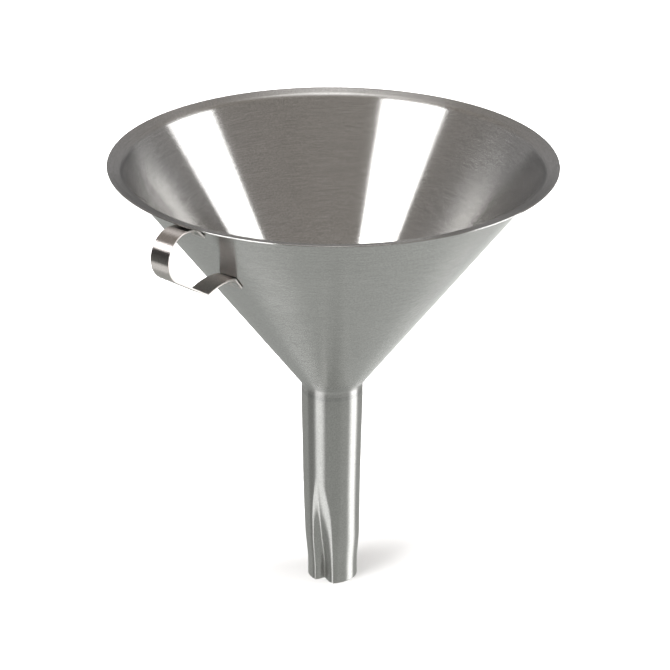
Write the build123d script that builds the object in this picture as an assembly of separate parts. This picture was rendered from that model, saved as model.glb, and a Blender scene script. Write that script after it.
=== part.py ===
from build123d import *
import math
import os

# Canning funnel, millimetres. +Z is up. The origin is on the axis at the neck, where the straight collar
# begins to open into the cone: that ring is what seats in the mouth of a jar or bottle. The handle is at +X.

# sheet and bowl
SHEET = 0.7                    # thickness of the bowl and the spout
HALF_ANGLE = 37.1              # between the cone's wall and the axis, degrees
COLLAR_RADIUS = 14.1           # outside of the straight collar under the cone
COLLAR_END = -1.2              # where the collar stops and the weld begins
NECK_BEND = 3.6                # outside radius of the bend from collar to cone
RIM_RADIUS = 100.0             # widest point of the lip
LIP_BEND = 4.0                 # radius under the lip, where the cone turns outwards
LIP_RISE = 12.0                # slope of the lip above horizontal, degrees
LIP_FLAT = 4.6                 # straight part of the lip, before its rounded edge

# spout
WELD_HEIGHT = 2.0              # height of the weld bead between collar and spout
WELD_CROWN_OUT = 0.02          # the bead is ground nearly flush outside
WELD_CROWN_IN = 0.3            # and left as laid inside
TAPER_START = -7.0
TAPER_END = -74.0
TAPER_RADIUS = 12.7            # outside radius where the swaged end begins
SWAGE_END = -93.0
OUTLET_RADIUS = 11.5
OUTLET = -98.9                 # height of the cut end

# air groove pressed into the spout
GROOVE_TOP = -42.0             # the groove fades out here
GROOVE_ANGLE = 9.8             # direction of the groove's bottom, degrees from the handle
GROOVE_DEPTH = 4.9             # at the outlet
GROOVE_NARROW = 15.0           # half width at the outlet on the side of the handle, degrees
GROOVE_WIDE = 30.0             # half width on the other side
GROOVE_FULL_WIDTH = 22.0       # length over which the groove opens to its full width
GROOVE_STEPS = 16              # sections along the groove
VALLEY_SOFTNESS = 2.7          # rounding of the groove's bottom, degrees
LOBE_SOFTNESS = 0.13           # rounding of the groove's two shoulders
LOBE_BULGE = 0.11              # how far the wide side's shoulder swells, per mm of depth
LOBE_ANGLE = 31.0              # where it swells, degrees from the groove
SHIFT = 0.13                   # how far the section moves sideways, per mm of depth
SHIFT_ANGLE = 123.0            # and which way, degrees from the handle

# handle
STRIP_WIDTH = 10.0
STRIP = 0.8                    # thickness of the strip
TAB_GAP = 0.12                 # between each tab and the cone, at the tab's end
LOOP_CENTRE = (101.5, 95.5)    # centre of the loop's round end: distance from the axis and height
LOOP_RADIUS = 11.1             # of the middle of the strip's thickness
LOOP_TOP_SLOPE = 4.5           # the upper run rises this many degrees away from the cone
LOOP_LOW_SLOPE = 32.3          # the straight run under the loop falls this many degrees towards the cone
CORNER_RADIUS = 1.0            # sharp corner where the strip turns back to the cone
CORNER_REACH = 88.6            # distance of that corner from the axis
UPPER_TAB = 6.2
UPPER_TAB_TILT = 7.5           # the upper tab lifts off the cone towards the lip, degrees
LOWER_TAB = 6.4
LOWER_RUN_HEADINGS = (159.0, 190.0)   # the lower run bows upwards between these two headings
TAB_BEND = 1.4                 # bend radius at both tabs, middle of the strip's thickness

# spot welds
SPOT_RADIUS = 1.6
SPOT_PROUD = 0.12              # the weld button stands out of the tab by this much
SPOT_SPREAD = 2.5              # each of the two spots is this far from the middle of the strip
SPOT_UP = 2.4                  # distance of the spots from the end of their tab

SLOPE = math.tan(math.radians(HALF_ANGLE))
WALL = (math.sin(math.radians(HALF_ANGLE)), math.cos(math.radians(HALF_ANGLE)))   # direction up the wall
NORMAL = (WALL[1], -WALL[0])                                                      # out of the cone, downwards
APEX = NECK_BEND * WALL[0] - (COLLAR_RADIUS + NECK_BEND * (1 - WALL[1])) / SLOPE


def cone_radius(height):
    """Radius of the cone's outer surface."""
    return SLOPE * (height - APEX)


def along(point, direction, distance):
    return (point[0] + direction[0] * distance, point[1] + direction[1] * distance)


def heading(degrees):
    return (math.cos(math.radians(degrees)), math.sin(math.radians(degrees)))


# ---- bowl ----

def lip_centre():
    """Centre of the bend under the lip, placed so that the rounded edge ends at RIM_RADIUS."""
    lip_normal = heading(LIP_RISE + 90)
    flat = heading(LIP_RISE)
    reach = LIP_BEND * lip_normal[0] + LIP_FLAT * flat[0] + SHEET / 2 * lip_normal[0] + SHEET / 2
    radius = RIM_RADIUS - reach
    height = APEX + (radius - LIP_BEND * NORMAL[0]) / SLOPE + LIP_BEND * NORMAL[1]
    return (radius, height)


def bowl_face(inset):
    """The bowl's profile on one face of the sheet, from the collar's end to the lip's edge."""
    neck_centre = (COLLAR_RADIUS + NECK_BEND, 0)
    neck_radius = NECK_BEND + inset
    centre = lip_centre()
    lip_radius = LIP_BEND + inset
    collar = (COLLAR_RADIUS - inset, COLLAR_END)
    cone_low = along(neck_centre, NORMAL, -neck_radius)
    cone_high = along(centre, NORMAL, -lip_radius)
    flat_start = along(centre, heading(LIP_RISE + 90), lip_radius)
    flat_end = along(flat_start, heading(LIP_RISE), LIP_FLAT)
    edges = [
        Line(collar, (COLLAR_RADIUS - inset, 0)),
        CenterArc(neck_centre, neck_radius, 180, -HALF_ANGLE),
        Line(cone_low, cone_high),
        CenterArc(centre, lip_radius, 180 - HALF_ANGLE, HALF_ANGLE - 90 + LIP_RISE),
        Line(flat_start, flat_end),
    ]
    return edges, collar, flat_end


def make_bowl():
    outer, outer_start, outer_end = bowl_face(0)
    inner, inner_start, inner_end = bowl_face(SHEET)
    edge_centre = ((outer_end[0] + inner_end[0]) / 2, (outer_end[1] + inner_end[1]) / 2)
    rim_edge = CenterArc(edge_centre, SHEET / 2, LIP_RISE - 90, 180)
    collar_end = Line(outer_start, inner_start)
    profile = make_face(Curve() + outer + [rim_edge] + inner + [collar_end])
    return revolve(Plane.XZ * profile, Axis.Z)


# ---- spout ----

def smooth_step(value):
    value = min(max(value, 0.0), 1.0)
    return value * value * (3 - 2 * value)


def base_radius(height):
    """Outside radius of the spout before the groove is pressed."""
    taper = min(max((TAPER_START - height) / (TAPER_START - TAPER_END), 0.0), 1.0)
    radius = COLLAR_RADIUS + (TAPER_RADIUS - COLLAR_RADIUS) * taper
    swage = smooth_step((TAPER_END - height) / (TAPER_END - SWAGE_END))
    return radius + (OUTLET_RADIUS - TAPER_RADIUS) * swage


def groove_shape(turn, opening):
    """How deep the groove is at an angle from its bottom, as a share of its full depth."""
    middle = (GROOVE_WIDE + GROOVE_NARROW) / 2
    skew = (GROOVE_WIDE - GROOVE_NARROW) / 2
    half_width = opening * (middle + skew * math.tanh(turn / 6))
    ramp = 1 - math.hypot(turn, VALLEY_SOFTNESS * opening) / half_width
    return (ramp + math.hypot(ramp, LOBE_SOFTNESS)) / 2


def outside_point(angle, height):
    """A point of the spout's outer surface, angle in degrees round the section's own centre."""
    press = smooth_step((GROOVE_TOP - height) / (GROOVE_TOP - OUTLET))
    depth = GROOVE_DEPTH * press
    opening = 0.35 + 0.65 * smooth_step((GROOVE_TOP - height) / GROOVE_FULL_WIDTH)
    turn = (angle - GROOVE_ANGLE + 180) % 360 - 180
    bulge = LOBE_BULGE * depth * math.exp(-((turn - LOBE_ANGLE * opening) / (15 * opening)) ** 2)
    radius = base_radius(height) - depth * groove_shape(turn, opening) + bulge
    shift = heading(SHIFT_ANGLE)
    ray = heading(angle)
    return (radius * ray[0] + SHIFT * depth * shift[0], radius * ray[1] + SHIFT * depth * shift[1])


def section_point(angle, height, inset):
    """The same point moved inwards, square to the sheet."""
    point = outside_point(angle, height)
    before = outside_point(angle - 0.5, height)
    after = outside_point(angle + 0.5, height)
    length = math.hypot(after[0] - before[0], after[1] - before[1])
    inward = ((before[1] - after[1]) / length, (after[0] - before[0]) / length)
    return along(point, inward, inset)


def section_angles():
    """Angles round a section, close together across the groove."""
    fine = [GROOVE_ANGLE + turn for turn in range(-45, 60, 5)]
    coarse_start, coarse_end = fine[-1], fine[0] + 360
    steps = 20
    coarse = [coarse_start + (coarse_end - coarse_start) * step / steps for step in range(1, steps)]
    close = [GROOVE_ANGLE + turn for turn in (-2.5, 2.5)]
    return sorted(fine + coarse + close)


def spout_body(inset):
    """A solid with the spout's outer shape, or with the shape of its bore."""
    heights = [COLLAR_END - WELD_HEIGHT, TAPER_START, GROOVE_TOP]
    for step in range(1, GROOVE_STEPS + 1):
        heights.append(GROOVE_TOP + (OUTLET - GROOVE_TOP) * step / GROOVE_STEPS)
    sections = []
    for height in heights:
        points = [section_point(angle, height, inset) for angle in section_angles()]
        outline = Spline(points, periodic=True)
        sections.append(Pos(0, 0, height) * make_face(outline))
    return loft(sections, ruled=True)


def make_spout():
    return spout_body(0) - spout_body(SHEET)


def make_neck_weld():
    """The bead between the collar's end and the top of the spout."""
    top = COLLAR_END
    bottom = COLLAR_END - WELD_HEIGHT
    inside = COLLAR_RADIUS - SHEET
    middle = (top + bottom) / 2
    profile = make_face(Curve() + [
        ThreePointArc((COLLAR_RADIUS, bottom), (COLLAR_RADIUS + WELD_CROWN_OUT, middle), (COLLAR_RADIUS, top)),
        Line((COLLAR_RADIUS, top), (inside, top)),
        ThreePointArc((inside, top), (inside - WELD_CROWN_IN, middle), (inside, bottom)),
        Line((inside, bottom), (COLLAR_RADIUS, bottom)),
    ])
    return revolve(Plane.XZ * profile, Axis.Z)


# ---- handle ----

def crossing(point, direction, other, other_direction):
    """Where two straight runs would meet."""
    determinant = direction[0] * other_direction[1] - direction[1] * other_direction[0]
    gap = (other[0] - point[0], other[1] - point[1])
    return along(point, direction, (gap[0] * other_direction[1] - gap[1] * other_direction[0]) / determinant)


def bend_setback(radius, turn):
    """Distance from a sharp corner to the ends of the bend that rounds it."""
    return radius * math.tan(math.radians(abs(turn)) / 2)


def strip_path():
    """Middle of the strip's thickness, from the end of the upper tab to the end of the lower one.

    Returns the edges, and the end point and upward direction of each tab."""
    clearance = TAB_GAP + STRIP / 2
    wall_heading = 90 - HALF_ANGLE

    top_heading = LOOP_TOP_SLOPE
    loop_start = along(LOOP_CENTRE, heading(top_heading + 90), LOOP_RADIUS)
    low_heading = 180 + LOOP_LOW_SLOPE
    loop_end = along(LOOP_CENTRE, heading(low_heading + 90), LOOP_RADIUS)

    # upper tab: its end is TAB_GAP from the cone, and it lifts off by the tilt above that
    tilt_heading = wall_heading - UPPER_TAB_TILT
    run_height = loop_start[1] - math.tan(math.radians(top_heading)) * (loop_start[0] - 94)
    guess = (cone_radius(run_height) + clearance / WALL[1], run_height)
    tab_end = along(guess, WALL, -UPPER_TAB)
    upper_corner = crossing(tab_end, heading(tilt_heading), loop_start, heading(top_heading))
    upper_turn = top_heading - tilt_heading
    setback = bend_setback(TAB_BEND, upper_turn)
    tab_top = along(upper_corner, heading(tilt_heading), -setback)
    run_start = along(upper_corner, heading(top_heading), setback)

    # sharp corner where the strip turns back towards the cone
    run_length = (loop_end[0] - CORNER_REACH) / -heading(low_heading)[0]
    corner = along(loop_end, heading(low_heading), run_length)
    first, last = LOWER_RUN_HEADINGS
    corner_turn = first - low_heading
    setback = bend_setback(CORNER_RADIUS, corner_turn)
    corner_start = along(corner, heading(low_heading), -setback)
    corner_end = along(corner, heading(first), setback)

    # the bowed run to the lower tab: its radius is the one that brings the tab to its gap from the cone
    down = wall_heading + 180
    low, high = 5.0, 100.0
    while high - low > 1e-9:
        radius = (low + high) / 2
        bow_centre = along(corner_end, heading(first + 90), radius)
        bow_end = along(bow_centre, heading(last - 90), radius)
        bend_centre = along(bow_end, heading(last + 90), TAB_BEND)
        tab_start = along(bend_centre, heading(down - 90), TAB_BEND)
        gap = (tab_start[0] - cone_radius(tab_start[1])) * WALL[1]
        low, high = (radius, high) if gap > clearance else (low, radius)
    lower_end = along(tab_start, heading(down), LOWER_TAB)

    edges = [
        Line(tab_end, tab_top),
        JernArc(tab_top, heading(tilt_heading), TAB_BEND, upper_turn),
        Line(run_start, loop_start),
        CenterArc(LOOP_CENTRE, LOOP_RADIUS, top_heading + 90, low_heading - 360 - top_heading),
        Line(loop_end, corner_start),
        JernArc(corner_start, heading(low_heading), CORNER_RADIUS, corner_turn),
        CenterArc(bow_centre, radius, first - 90, last - first),
        CenterArc(bend_centre, TAB_BEND, last - 90, down - last),
        Line(tab_start, lower_end),
    ]
    return edges, (tab_end, heading(tilt_heading)), (lower_end, WALL)


def spot_cylinders(tab, side):
    """Two short rods through a tab, square to it. side is the heading from the tab's face to the open air."""
    end, direction = tab
    middle = along(end, direction, SPOT_UP)
    outward = (direction[1], -direction[0])
    rods = []
    for across in (-SPOT_SPREAD, SPOT_SPREAD):
        start = along(middle, outward, -STRIP / 2 - side)
        length = STRIP + SPOT_PROUD + side
        plane = Plane(origin=(start[0], across, start[1]), z_dir=(outward[0], 0, outward[1]))
        rods.append(plane * Cylinder(SPOT_RADIUS, length, align=(Align.CENTER, Align.CENTER, Align.MIN)))
    return rods


def make_handle_and_spots(bowl):
    """The strip with its weld holes, and the weld buttons that fill them and reach the cone."""
    edges, upper_tab, lower_tab = strip_path()
    face = trace(Curve() + edges, line_width=STRIP)
    strip = extrude(Plane.XZ * face, STRIP_WIDTH / 2, both=True)
    spots = []
    for tab in (upper_tab, lower_tab):
        rods = spot_cylinders(tab, 1.2)
        for rod in rods:
            strip = strip - rod
        spots.append([rod - bowl for rod in rods])
    return strip, spots


def outer_piece(shape):
    """Of the pieces a cut leaves, the one outside the cone."""
    return shape.solids().sort_by(Axis.X)[-1]


bowl = make_bowl()
handle, (upper_spots, lower_spots) = make_handle_and_spots(bowl)
nodes = {
    "bowl": bowl,
    "spout": make_spout(),
    "neck_weld": make_neck_weld(),
    "handle": handle,
    "handle_upper_welds": Compound([outer_piece(spot) for spot in upper_spots]),
    "handle_lower_welds": Compound([outer_piece(spot) for spot in lower_spots]),
}

os.makedirs("parts", exist_ok=True)
for name, shape in nodes.items():
    export_step(shape, "parts/" + name + ".step")
    size = shape.bounding_box().size
    print(name, "solids", len(shape.solids()), "size", round(size.X, 2), round(size.Y, 2), round(size.Z, 2))
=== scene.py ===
import math

import bmesh
import bpy
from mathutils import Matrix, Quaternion, Vector


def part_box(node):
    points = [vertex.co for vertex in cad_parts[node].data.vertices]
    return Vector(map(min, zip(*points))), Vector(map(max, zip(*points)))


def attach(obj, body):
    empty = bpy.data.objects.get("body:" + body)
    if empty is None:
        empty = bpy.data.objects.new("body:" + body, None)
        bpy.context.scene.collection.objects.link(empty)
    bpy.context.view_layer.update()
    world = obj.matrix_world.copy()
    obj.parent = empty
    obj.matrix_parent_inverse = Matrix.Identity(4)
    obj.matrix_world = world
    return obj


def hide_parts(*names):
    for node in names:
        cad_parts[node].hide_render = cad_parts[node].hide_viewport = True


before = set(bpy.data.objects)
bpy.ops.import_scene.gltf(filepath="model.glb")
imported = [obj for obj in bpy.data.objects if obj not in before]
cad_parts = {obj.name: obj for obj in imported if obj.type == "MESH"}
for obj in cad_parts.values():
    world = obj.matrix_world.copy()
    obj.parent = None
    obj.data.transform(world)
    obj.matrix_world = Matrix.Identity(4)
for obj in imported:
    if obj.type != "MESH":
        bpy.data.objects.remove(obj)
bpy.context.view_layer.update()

# Lengths are in metres unless a comment says otherwise. +Z is up, and the handle is at +X.
MM = 0.001

# ---- sizes; the frame gives the outer ones ----
BOWL_LOW, BOWL_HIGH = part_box("bowl")
SPOUT_LOW, SPOUT_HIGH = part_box("spout")
HANDLE_LOW, HANDLE_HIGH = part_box("handle")

RIM_RADIUS = BOWL_HIGH.x
SHEET = 0.7 * MM
HALF_ANGLE = math.radians(37.1)
COLLAR_RADIUS = 14.1 * MM
NECK_BEND = 3.6 * MM
LIP_BEND = 4.0 * MM
LIP_RISE = math.radians(12)
LIP_FLAT = 4.6 * MM
OUTLET = SPOUT_LOW.z

WALL = Vector((math.sin(HALF_ANGLE), math.cos(HALF_ANGLE)))   # up the cone's wall: away from the axis, and up
NORMAL = Vector((WALL.y, -WALL.x))                            # out of the cone, downwards
SLOPE = math.tan(HALF_ANGLE)
APEX = NECK_BEND * WALL.x - (COLLAR_RADIUS + NECK_BEND * (1 - WALL.y)) / SLOPE

CORNER_ANGLE = math.radians(35)       # edges that turn more than this stay sharp


def heading(angle):
    return Vector((math.cos(angle), math.sin(angle)))


def arc_points(centre, radius, start, end, steps):
    """Points of an arc in a profile plane, both ends included."""
    return [centre + radius * heading(start + (end - start) * i / steps) for i in range(steps + 1)]


def line_points(start, end, steps):
    return [start.lerp(end, i / steps) for i in range(1, steps)]


def add_piece(name, mesh, node, material):
    piece = bpy.data.objects.new(name, mesh)
    bpy.context.scene.collection.objects.link(piece)
    mesh.materials.append(material)
    for polygon in mesh.polygons:
        polygon.use_smooth = True
    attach(piece, "root")
    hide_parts(node)


def skin_mesh(name, rings, endless=True):
    """A closed skin over rings of points. The last ring joins the first, or both get a flat end."""
    mesh = bpy.data.meshes.new(name)
    count = len(rings[0])
    vertices = [point for ring in rings for point in ring]
    faces = []
    for i in range(len(rings) if endless else len(rings) - 1):
        j = (i + 1) % len(rings)
        for k in range(count):
            m = (k + 1) % count
            faces.append((i * count + k, i * count + m, j * count + m, j * count + k))
    if not endless:
        faces.append(range(count))
        faces.append(range(len(vertices) - count, len(vertices)))
    mesh.from_pydata(vertices, [], faces)

    fixer = bmesh.new()
    fixer.from_mesh(mesh)
    bmesh.ops.recalc_face_normals(fixer, faces=fixer.faces)
    for edge in fixer.edges:
        if edge.calc_face_angle() > CORNER_ANGLE:
            edge.smooth = False
    fixer.to_mesh(mesh)
    fixer.free()
    return mesh


# ---- materials ----
ANISOTROPY = 1.0
QUARTER_TURN = 0.25                   # turns the highlight across the brushing
PIT_SCALE = 1600                      # fine pits, per metre
PIT_CONTRAST = 0.10
PATCH_SCALE = (18, 18, 40)            # broad uneven patches, per metre
PATCH_CONTRAST = 0.03
NECK_BLEND = 9.0 * MM                 # height over which the neck's rougher finish fades out


def noise(tree, vector, detail, roughness=0.5):
    node = tree.nodes.new("ShaderNodeTexNoise")
    node.inputs["Scale"].default_value = 1.0
    node.inputs["Detail"].default_value = detail
    node.inputs["Roughness"].default_value = roughness
    tree.links.new(vector, node.inputs["Vector"])
    return node.outputs["Fac"]


def stretched(tree, scale):
    """Object coordinates scaled along each axis."""
    coordinates = tree.nodes.new("ShaderNodeTexCoord")
    mapping = tree.nodes.new("ShaderNodeMapping")
    mapping.inputs["Scale"].default_value = scale
    tree.links.new(coordinates.outputs["Object"], mapping.inputs["Vector"])
    return mapping.outputs["Vector"]


def remap(tree, value, low, high, from_low=0.3, from_high=0.7):
    """Spreads a value over a new range, clamped. The usual input is noise, which stays near the middle."""
    node = tree.nodes.new("ShaderNodeMapRange")
    node.inputs["From Min"].default_value = from_low
    node.inputs["From Max"].default_value = from_high
    node.inputs["To Min"].default_value = low
    node.inputs["To Max"].default_value = high
    tree.links.new(value, node.inputs["Value"])
    return node.outputs["Result"]


def calculate(tree, operation, one, other):
    node = tree.nodes.new("ShaderNodeMath")
    node.operation = operation
    tree.links.new(one, node.inputs[0])
    tree.links.new(other, node.inputs[1])
    return node.outputs["Value"]


def multiply(tree, one, other):
    return calculate(tree, "MULTIPLY", one, other)


def add(tree, one, other):
    return calculate(tree, "ADD", one, other)


def object_height(tree):
    coordinates = tree.nodes.new("ShaderNodeTexCoord")
    split = tree.nodes.new("ShaderNodeSeparateXYZ")
    tree.links.new(coordinates.outputs["Object"], split.inputs["Vector"])
    return split.outputs["Z"]


def turned_grain(tree, scale):
    """Coordinates that follow a turned shape: the direction round the axis, and the way along the profile."""
    coordinates = tree.nodes.new("ShaderNodeTexCoord")
    flat = tree.nodes.new("ShaderNodeVectorMath")
    flat.operation = "MULTIPLY"
    flat.inputs[1].default_value = (1, 1, 0)
    tree.links.new(coordinates.outputs["Object"], flat.inputs[0])
    round_axis = tree.nodes.new("ShaderNodeVectorMath")
    round_axis.operation = "NORMALIZE"
    tree.links.new(flat.outputs["Vector"], round_axis.inputs[0])
    radius = tree.nodes.new("ShaderNodeVectorMath")
    radius.operation = "LENGTH"
    tree.links.new(flat.outputs["Vector"], radius.inputs[0])
    profile = tree.nodes.new("ShaderNodeCombineXYZ")
    tree.links.new(add(tree, radius.outputs["Value"], object_height(tree)), profile.inputs["Z"])
    both = tree.nodes.new("ShaderNodeVectorMath")
    both.operation = "ADD"
    tree.links.new(round_axis.outputs["Vector"], both.inputs[0])
    tree.links.new(profile.outputs["Vector"], both.inputs[1])
    mapping = tree.nodes.new("ShaderNodeMapping")
    mapping.inputs["Scale"].default_value = scale
    tree.links.new(both.outputs["Vector"], mapping.inputs["Vector"])
    return mapping.outputs["Vector"]


def spread(tree, value, middle, share):
    """Noise turned into a factor that varies round the middle by this share of it."""
    return remap(tree, value, middle * (1 - share), middle * (1 + share))


def brushed_steel(name, colour, roughness, grain, streak, scratch, wave, lengthwise=False, neck_roughness=None):
    """Stainless steel brushed round the Z axis, or along the handle's strip when lengthwise.

    grain is the noise's scale round the axis and along the profile, or along each axis when lengthwise.
    streak is the contrast of the grain; scratch and wave are heights in metres. neck_roughness is the
    roughness at the neck, where it differs."""
    material = bpy.data.materials.new(name)
    material.use_nodes = True
    tree = material.node_tree
    shader = tree.nodes["Principled BSDF"]
    shader.inputs["Metallic"].default_value = 1.0
    shader.inputs["Anisotropic"].default_value = ANISOTROPY

    if lengthwise:
        tangent = tree.nodes.new("ShaderNodeCombineXYZ")
        tangent.inputs["Y"].default_value = 1.0
        tree.links.new(tangent.outputs["Vector"], shader.inputs["Tangent"])
        grain_vector = stretched(tree, grain)
    else:
        shader.inputs["Anisotropic Rotation"].default_value = QUARTER_TURN
        tangent = tree.nodes.new("ShaderNodeTangent")
        tangent.direction_type = "RADIAL"
        tangent.axis = "Z"
        tree.links.new(tangent.outputs["Tangent"], shader.inputs["Tangent"])
        grain_vector = turned_grain(tree, grain)

    fine = noise(tree, grain_vector, detail=3.0, roughness=0.7)
    broad = noise(tree, stretched(tree, PATCH_SCALE), detail=3.0)
    pits = noise(tree, stretched(tree, (PIT_SCALE, PIT_SCALE, PIT_SCALE)), detail=1.0)
    shade = multiply(tree, spread(tree, fine, 1, streak), spread(tree, broad, 1, PATCH_CONTRAST))
    shade = multiply(tree, shade, spread(tree, pits, 1, PIT_CONTRAST))
    tint = tree.nodes.new("ShaderNodeVectorMath")
    tint.operation = "SCALE"
    tint.inputs[0].default_value = colour
    tree.links.new(shade, tint.inputs["Scale"])
    tree.links.new(tint.outputs["Vector"], shader.inputs["Base Color"])

    worn = multiply(tree, spread(tree, fine, roughness, streak / 2), spread(tree, broad, 1, 0.04))
    if neck_roughness:
        at_neck = remap(tree, object_height(tree), neck_roughness / roughness, 1, 0, NECK_BLEND)
        worn = multiply(tree, worn, at_neck)
    tree.links.new(worn, shader.inputs["Roughness"])

    height = tree.nodes.new("ShaderNodeBump")
    height.inputs["Distance"].default_value = 1.0
    relief = add(tree, remap(tree, fine, 0, scratch, 0, 1), remap(tree, broad, 0, wave, 0, 1))
    tree.links.new(relief, height.inputs["Height"])
    tree.links.new(height.outputs["Normal"], shader.inputs["Normal"])
    return material


steel_bowl = brushed_steel("bowl_brushed_steel", colour=(0.53, 0.525, 0.515), roughness=0.22,
                           grain=(8, 8, 2400), streak=0.11, scratch=1.5e-7, wave=5e-5, neck_roughness=0.34)
steel_spout = brushed_steel("spout_brushed_steel", colour=(0.53, 0.53, 0.515), roughness=0.34,
                            grain=(5, 5, 2400), streak=0.04, scratch=1e-7, wave=1e-5)
steel_handle = brushed_steel("handle_rolled_steel", colour=(0.585, 0.55, 0.53), roughness=0.30,
                             grain=(80, 1500, 80), streak=0.02, scratch=1e-8, wave=2e-5, lengthwise=True)
steel_weld = brushed_steel("ground_weld_steel", colour=(0.47, 0.47, 0.46), roughness=0.34,
                           grain=(5, 5, 2400), streak=0.04, scratch=1e-7, wave=1e-5)


# ---- bowl ----

def lip_centre():
    lip_normal = heading(LIP_RISE + math.pi / 2)
    flat = heading(LIP_RISE)
    reach = LIP_BEND * lip_normal.x + LIP_FLAT * flat.x + SHEET / 2 * lip_normal.x + SHEET / 2
    radius = RIM_RADIUS - reach
    height = APEX + (radius - LIP_BEND * NORMAL.x) / SLOPE + LIP_BEND * NORMAL.y
    return Vector((radius, height))


def bowl_face(inset):
    """Profile points on one face of the sheet, from the collar's end to the lip's edge."""
    neck_centre = Vector((COLLAR_RADIUS + NECK_BEND, 0))
    neck = arc_points(neck_centre, NECK_BEND + inset, math.pi, math.pi - HALF_ANGLE, 12)
    lip = arc_points(lip_centre(), LIP_BEND + inset, math.pi - HALF_ANGLE, LIP_RISE + math.pi / 2, 14)
    flat_end = lip[-1] + heading(LIP_RISE) * LIP_FLAT
    collar = Vector((COLLAR_RADIUS - inset, BOWL_LOW.z))
    points = [collar] + line_points(collar, neck[0], 2) + neck
    points += line_points(neck[-1], lip[0], 40) + lip + line_points(lip[-1], flat_end, 4) + [flat_end]
    return points


def turned(points, segments):
    """Rows of points round the Z axis, one row to each profile point."""
    rows = []
    for point in points:
        row = []
        for k in range(segments):
            way = heading(2 * math.pi * k / segments)
            row.append((point.x * way.x, point.x * way.y, point.y))
        rows.append(row)
    return rows


def make_bowl():
    outer = bowl_face(0.0)
    inner = bowl_face(SHEET)
    edge_centre = (outer[-1] + inner[-1]) / 2
    edge = arc_points(edge_centre, SHEET / 2, LIP_RISE - math.pi / 2, LIP_RISE + math.pi / 2, 10)[1:-1]
    profile = outer + edge + inner[::-1]
    add_piece("funnel_bowl", skin_mesh("funnel_bowl", turned(profile, 432)), "bowl", steel_bowl)


# ---- spout, in millimetres and degrees ----
TAPER_START = -7.0
TAPER_END = -74.0
TAPER_RADIUS = 12.7
SWAGE_END = -93.0
OUTLET_RADIUS = 11.5
GROOVE_TOP = -42.0
GROOVE_ANGLE = 9.8
GROOVE_DEPTH = 4.9
GROOVE_NARROW = 15.0
GROOVE_WIDE = 30.0
GROOVE_FULL_WIDTH = 22.0
VALLEY_SOFTNESS = 2.7
LOBE_SOFTNESS = 0.13
LOBE_BULGE = 0.11
LOBE_ANGLE = 31.0
SHIFT = 0.13
SHIFT_ANGLE = 123.0
SPOUT_COLUMNS = 288
SPOUT_ROWS = 150
EDGE_SOFTNESS = 0.3                   # rounding of the cut end, as a share of the sheet


def smooth_step(value):
    value = min(max(value, 0.0), 1.0)
    return value * value * (3 - 2 * value)


def base_radius(height):
    taper = min(max((TAPER_START - height) / (TAPER_START - TAPER_END), 0.0), 1.0)
    radius = COLLAR_RADIUS / MM + (TAPER_RADIUS - COLLAR_RADIUS / MM) * taper
    swage = smooth_step((TAPER_END - height) / (TAPER_END - SWAGE_END))
    return radius + (OUTLET_RADIUS - TAPER_RADIUS) * swage


def groove_shape(turn, opening):
    """How far the groove is pressed in at this angle from its bottom: 1 near the bottom, 0 beyond it."""
    middle = (GROOVE_WIDE + GROOVE_NARROW) / 2
    skew = (GROOVE_WIDE - GROOVE_NARROW) / 2
    half_width = opening * (middle + skew * math.tanh(turn / 6))
    ramp = 1 - math.hypot(turn, VALLEY_SOFTNESS * opening) / half_width
    return (ramp + math.hypot(ramp, LOBE_SOFTNESS)) / 2


def outside_point(angle, height):
    """A point of the spout's outer surface, in millimetres, angle in degrees."""
    press = smooth_step((GROOVE_TOP - height) / (GROOVE_TOP - OUTLET / MM))
    depth = GROOVE_DEPTH * press
    opening = 0.35 + 0.65 * smooth_step((GROOVE_TOP - height) / GROOVE_FULL_WIDTH)
    turn = (angle - GROOVE_ANGLE + 180) % 360 - 180
    bulge = LOBE_BULGE * depth * math.exp(-((turn - LOBE_ANGLE * opening) / (15 * opening)) ** 2)
    radius = base_radius(height) - depth * groove_shape(turn, opening) + bulge
    return radius * heading(math.radians(angle)) + SHIFT * depth * heading(math.radians(SHIFT_ANGLE))


def spout_ring(height, inset, angles):
    """A ring of points in metres, moved inwards square to the sheet."""
    ring = []
    for angle in angles:
        along = outside_point(angle + 0.3, height) - outside_point(angle - 0.3, height)
        along.normalize()
        point = outside_point(angle, height) + inset / MM * Vector((-along.y, along.x))
        ring.append((point.x * MM, point.y * MM, height * MM))
    return ring


def make_spout():
    angles = [GROOVE_ANGLE + i * 360 / SPOUT_COLUMNS for i in range(SPOUT_COLUMNS)]
    top = SPOUT_HIGH.z / MM
    bottom = OUTLET / MM
    heights = [top + (bottom - top) * i / SPOUT_ROWS for i in range(SPOUT_ROWS)]
    soft = SHEET * EDGE_SOFTNESS
    corner = [math.radians(90 * step / 4) for step in range(5)]
    rings = [spout_ring(height, 0.0, angles) for height in heights]
    for turn in corner:
        rings.append(spout_ring(bottom + soft / MM * (1 - math.sin(turn)), soft * (1 - math.cos(turn)), angles))
    for turn in corner:
        inset = SHEET - soft * (1 - math.sin(turn))
        rings.append(spout_ring(bottom + soft / MM * (1 - math.cos(turn)), inset, angles))
    rings += [spout_ring(height, SHEET, angles) for height in reversed(heights)]
    add_piece("funnel_spout", skin_mesh("funnel_spout", rings), "spout", steel_spout)


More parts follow.
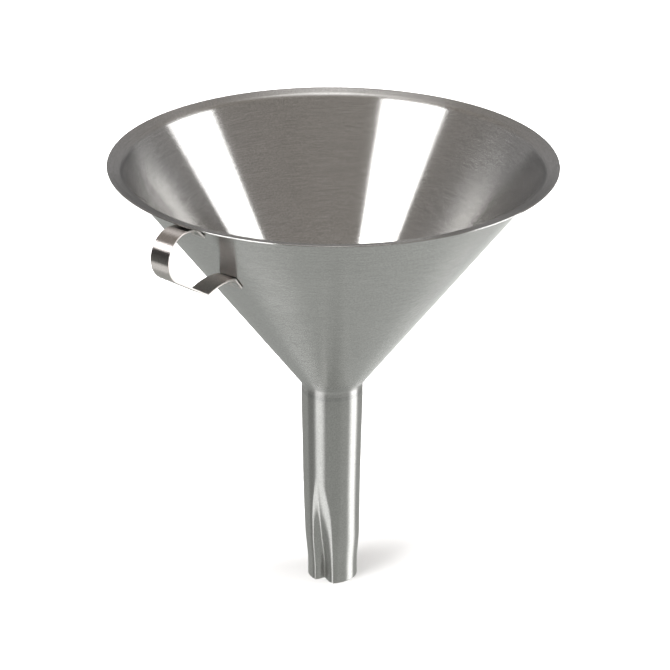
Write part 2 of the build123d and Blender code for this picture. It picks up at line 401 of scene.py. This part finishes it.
# ---- handle ----
STRIP = 0.8 * MM
STRIP_WIDTH = HANDLE_HIGH.y - HANDLE_LOW.y
TAB_GAP = 0.12 * MM
LOOP_CENTRE = Vector((101.5, 95.5)) * MM
LOOP_RADIUS = 11.1 * MM
LOOP_TOP_SLOPE = 4.5
LOOP_LOW_SLOPE = 32.3
CORNER_RADIUS = 1.0 * MM
CORNER_REACH = 88.6 * MM
UPPER_TAB = 6.2 * MM
UPPER_TAB_TILT = 7.5
LOWER_TAB = 6.4 * MM
LOWER_RUN_HEADINGS = (159.0, 190.0)
TAB_BEND = 1.4 * MM


def pointing(degrees):
    return heading(math.radians(degrees))


def crossing(point, way, other, other_way):
    determinant = way.x * other_way.y - way.y * other_way.x
    gap = other - point
    return point + way * ((gap.x * other_way.y - gap.y * other_way.x) / determinant)


def strip_path():
    """Points along the middle of the strip with the heading at each, upper tab to lower tab."""
    clearance = TAB_GAP + STRIP / 2
    wall_heading = 90 - math.degrees(HALF_ANGLE)
    top, low = LOOP_TOP_SLOPE, 180 + LOOP_LOW_SLOPE
    loop_start = LOOP_CENTRE + LOOP_RADIUS * pointing(top + 90)
    loop_end = LOOP_CENTRE + LOOP_RADIUS * pointing(low + 90)
    tilt = wall_heading - UPPER_TAB_TILT
    run_height = loop_start.y - math.tan(math.radians(top)) * (loop_start.x - 94 * MM)
    guess = Vector((SLOPE * (run_height - APEX) + clearance / WALL.y, run_height))
    tab_end = guess - WALL * UPPER_TAB
    upper_corner = crossing(tab_end, pointing(tilt), loop_start, pointing(top))
    first, last = LOWER_RUN_HEADINGS
    down = wall_heading + 180

    run_length = (loop_end.x - CORNER_REACH) / -pointing(low).x
    corner = loop_end + pointing(low) * run_length
    setback = CORNER_RADIUS * math.tan(math.radians(low - first) / 2)
    corner_start = corner - pointing(low) * setback
    corner_end = corner + pointing(first) * setback

    low_guess, high_guess = 5.0 * MM, 100.0 * MM
    for _ in range(60):
        radius = (low_guess + high_guess) / 2
        bow_centre = corner_end + pointing(first + 90) * radius
        bow_end = bow_centre + pointing(last - 90) * radius
        bend_centre = bow_end + pointing(last + 90) * TAB_BEND
        tab_start = bend_centre + pointing(down - 90) * TAB_BEND
        gap = (tab_start.x - SLOPE * (tab_start.y - APEX)) * WALL.y
        low_guess, high_guess = (radius, high_guess) if gap > clearance else (low_guess, radius)

    setback = TAB_BEND * math.tan(math.radians(tilt - top) / 2)
    stations = []

    def straight(start, end, way, steps):
        for i in range(steps):
            stations.append((start.lerp(end, i / steps), way))

    def bend(centre, radius, start, end, steps):
        side = 90 if end < start else -90
        for i in range(steps):
            way = start + (end - start) * i / steps
            stations.append((centre + radius * pointing(way + side), way))

    tab_top = upper_corner - pointing(tilt) * setback
    run_start = upper_corner + pointing(top) * setback
    straight(tab_end, tab_top, tilt, 8)
    bend(tab_top + pointing(tilt - 90) * TAB_BEND, TAB_BEND, tilt, top, 12)
    straight(run_start, loop_start, top, 6)
    bend(LOOP_CENTRE, LOOP_RADIUS, top, low - 360, 110)
    straight(loop_end, corner_start, low, 16)
    bend(corner_start + pointing(low - 90) * CORNER_RADIUS, CORNER_RADIUS, low, first, 14)
    bend(bow_centre, radius, first, last, 24)
    bend(bend_centre, TAB_BEND, last, down, 12)
    lower_end = tab_start - WALL * LOWER_TAB
    straight(tab_start, lower_end, down, 8)
    stations.append((lower_end, down))
    return stations


def strip_section():
    """Rounded rectangle: across the strip and through its thickness. Its faces are divided to stay flat."""
    soft = 0.16 * MM
    wide, thick = STRIP_WIDTH / 2 - soft, STRIP / 2 - soft
    points = []
    for quarter, (side, face) in enumerate(((1, 1), (-1, 1), (-1, -1), (1, -1))):
        for step in range(5):
            way = heading(math.radians(90 * quarter + 90 * step / 4))
            points.append((side * wide + soft * way.x, face * thick + soft * way.y))
        if quarter % 2 == 0:
            points += [(side * wide * share, face * STRIP / 2) for share in (0.96, 0.5, -0.5, -0.96)]
    return points


def make_handle():
    section = strip_section()
    rings = []
    for centre, way in strip_path():
        normal = pointing(way + 90)
        ring = []
        for across, through in section:
            spot = centre + normal * through
            ring.append((spot.x, across, spot.y))
        rings.append(ring)
    add_piece("funnel_handle", skin_mesh("funnel_handle", rings, endless=False), "handle", steel_handle)


make_bowl()
make_spout()
make_handle()
for name in ("neck_weld", "handle_upper_welds", "handle_lower_welds"):
    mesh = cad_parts[name].data
    mesh.materials.clear()
    mesh.materials.append(steel_weld)


# ---- stage ----
# Places round the funnel are given as turn, degrees to the camera's right, and rise, degrees above level.
CAMERA_TURN = math.radians(39.5)      # the camera stands this far round from the handle
CAMERA_DISTANCE = 1.100               # from the axis
CAMERA_ABOVE_RIM = 0.41138
CAMERA_PITCH = 0.42361                # radians down
CAMERA_YAW = 0.00107
CAMERA_ROLL = 0.0059
LIGHT_DISTANCE = 4.0
LIGHT_AIM = Vector((0, 0, 0.03))
FLOOR_HALF = 6.0

# colours of the surroundings by height (sine of the angle above level)
SURROUNDINGS = [(-1.0, (0.52, 0.535, 0.51)), (-0.85, (0.625, 0.645, 0.62)), (-0.42, (0.585, 0.60, 0.575)),
                (-0.10, (0.55, 0.56, 0.54)), (0.0, (0.30, 0.30, 0.30)), (0.35, (0.36, 0.35, 0.35)),
                (0.8, (0.36, 0.33, 0.30))]
# Flags and cards: turn, rise, width, height, softness of the edge (all in degrees), level.
# A flag takes that share of the light away.
FLAGS = [(-58, -1, 80, 50, 6, 0.9), (0, 12, 70, 34, 8, 0.8), (-150, -45, 50, 40, 24, 0.18),
         (180, 3, 80, 22, 8, 0.6)]
# A card adds light.
CARDS = [(90, -25, 28, 30, 14, 2.7), (-52, -42, 28, 28, 10, 1.7), (168, -28, 12, 24, 8, 0.9),
         (180, 68, 14, 30, 20, 2.3)]


def from_camera(turn, distance, height):
    """A place this many degrees to the camera's right round the funnel."""
    way = heading(CAMERA_TURN + math.radians(turn))
    return Vector((way.x * distance, way.y * distance, height))


def direction_to(turn, rise):
    """A unit vector from the funnel."""
    return from_camera(turn, math.cos(math.radians(rise)), math.sin(math.radians(rise)))


def softbox(name, turn, rise, wide, tall, radiance, roll=0.0):
    """A rectangular light that faces the middle of the funnel. Its angles are in degrees, seen from there."""
    light = bpy.data.lights.new(name, "AREA")
    light.shape = "RECTANGLE"
    light.size = 2 * LIGHT_DISTANCE * math.tan(math.radians(wide / 2))
    light.size_y = 2 * LIGHT_DISTANCE * math.tan(math.radians(tall / 2))
    light.energy = radiance * math.pi * light.size * light.size_y
    box = bpy.data.objects.new(name, light)
    way = direction_to(turn, rise)
    box.location = LIGHT_AIM + LIGHT_DISTANCE * way
    box.rotation_mode = "QUATERNION"
    box.rotation_quaternion = (-way).to_track_quat("-Z", "Y") @ Quaternion((0, 0, 1), math.radians(roll))
    bpy.context.scene.collection.objects.link(box)
    return box


def make_floor():
    mesh = bpy.data.meshes.new("floor")
    corners = [(x * FLOOR_HALF, y * FLOOR_HALF, OUTLET) for x, y in ((-1, -1), (1, -1), (1, 1), (-1, 1))]
    mesh.from_pydata(corners, [], [(0, 1, 2, 3)])
    floor = bpy.data.objects.new("floor", mesh)
    bpy.context.scene.collection.objects.link(floor)
    material = bpy.data.materials.new("pale_floor")
    material.use_nodes = True
    shader = material.node_tree.nodes["Principled BSDF"]
    shader.inputs["Base Color"].default_value = (0.9, 0.9, 0.9, 1)
    shader.inputs["Roughness"].default_value = 0.9
    shader.inputs["Specular IOR Level"].default_value = 0.0
    mesh.materials.append(material)
    floor.visible_glossy = False
    floor.visible_shadow = False


def dot(tree, direction, axis):
    node = tree.nodes.new("ShaderNodeVectorMath")
    node.operation = "DOT_PRODUCT"
    node.inputs[1].default_value = axis
    tree.links.new(direction, node.inputs[0])
    return node.outputs["Value"]


def card(tree, direction, turn, rise, wide, tall, edge, level):
    """A soft-edged rectangle in the surroundings, as a grey value. All but level in degrees."""
    ahead = direction_to(turn, rise)
    side = direction_to(turn + 90, 0)
    above = side.cross(ahead)
    facing = dot(tree, direction, ahead)
    reach = remap(tree, facing, 0, level, 0.0, 0.05)
    for axis, span in ((side, wide), (above, tall)):
        offset = calculate(tree, "DIVIDE", dot(tree, direction, axis), facing)
        distance = tree.nodes.new("ShaderNodeMath")
        distance.operation = "ABSOLUTE"
        tree.links.new(offset, distance.inputs[0])
        inner = math.tan(math.radians(span / 2 - edge / 2))
        outer = math.tan(math.radians(span / 2 + edge / 2))
        fade = remap(tree, distance.outputs["Value"], 1, 0, inner, outer)
        fade.node.interpolation_type = "SMOOTHSTEP"
        reach = multiply(tree, reach, fade)
    return reach


def make_world():
    """A dim warm studio above and a pale table below, with dark flags and reflecting cards."""
    world = bpy.data.worlds.new("studio")
    bpy.context.scene.world = world
    world.use_nodes = True
    tree = world.node_tree
    background = tree.nodes["Background"]
    coordinates = tree.nodes.new("ShaderNodeTexCoord")
    direction = coordinates.outputs["Generated"]
    ramp = tree.nodes.new("ShaderNodeValToRGB")
    tree.links.new(remap(tree, dot(tree, direction, (0, 0, 1)), 0, 1, -1, 1), ramp.inputs["Fac"])
    stops = ramp.color_ramp.elements
    while len(stops) < len(SURROUNDINGS):
        stops.new(0.5)
    for stop, (height, colour) in zip(stops, SURROUNDINGS):
        stop.position = (height + 1) / 2
        stop.color = (*colour, 1)
    result = ramp.outputs["Color"]
    for settings in FLAGS:
        lit = tree.nodes.new("ShaderNodeVectorMath")
        lit.operation = "SCALE"
        tree.links.new(result, lit.inputs[0])
        tree.links.new(remap(tree, card(tree, direction, *settings), 1, 0, 0, 1), lit.inputs["Scale"])
        result = lit.outputs["Vector"]
    for settings in CARDS:
        glow = tree.nodes.new("ShaderNodeVectorMath")
        glow.operation = "ADD"
        tree.links.new(result, glow.inputs[0])
        tree.links.new(card(tree, direction, *settings), glow.inputs[1])
        result = glow.outputs["Vector"]
    tree.links.new(result, background.inputs["Color"])


def make_camera():
    camera = bpy.data.cameras.new("camera")
    camera.sensor_width = 36
    camera.lens = 142.42
    camera.clip_end = 50
    holder = bpy.data.objects.new("camera", camera)
    forward_flat = heading(CAMERA_TURN + math.pi - CAMERA_YAW) * math.cos(CAMERA_PITCH)
    forward = Vector((forward_flat.x, forward_flat.y, -math.sin(CAMERA_PITCH)))
    holder.rotation_mode = "QUATERNION"
    holder.rotation_quaternion = forward.to_track_quat("-Z", "Y") @ Quaternion((0, 0, 1), CAMERA_ROLL)
    holder.location = from_camera(0, CAMERA_DISTANCE, BOWL_HIGH.z + CAMERA_ABOVE_RIM)
    bpy.context.scene.collection.objects.link(holder)
    bpy.context.scene.camera = holder


make_floor()
make_world()
make_camera()
softbox("right_softbox", 93, 26, 28, 26, 5.2, roll=-32)
softbox("left_softbox", -53, 40, 30.5, 24, 10.0, roll=23)
overhead = softbox("overhead_softbox", 0, 88, 50, 50, 9.0)
overhead.visible_glossy = False
bpy.context.scene.view_settings.view_transform = "Standard"
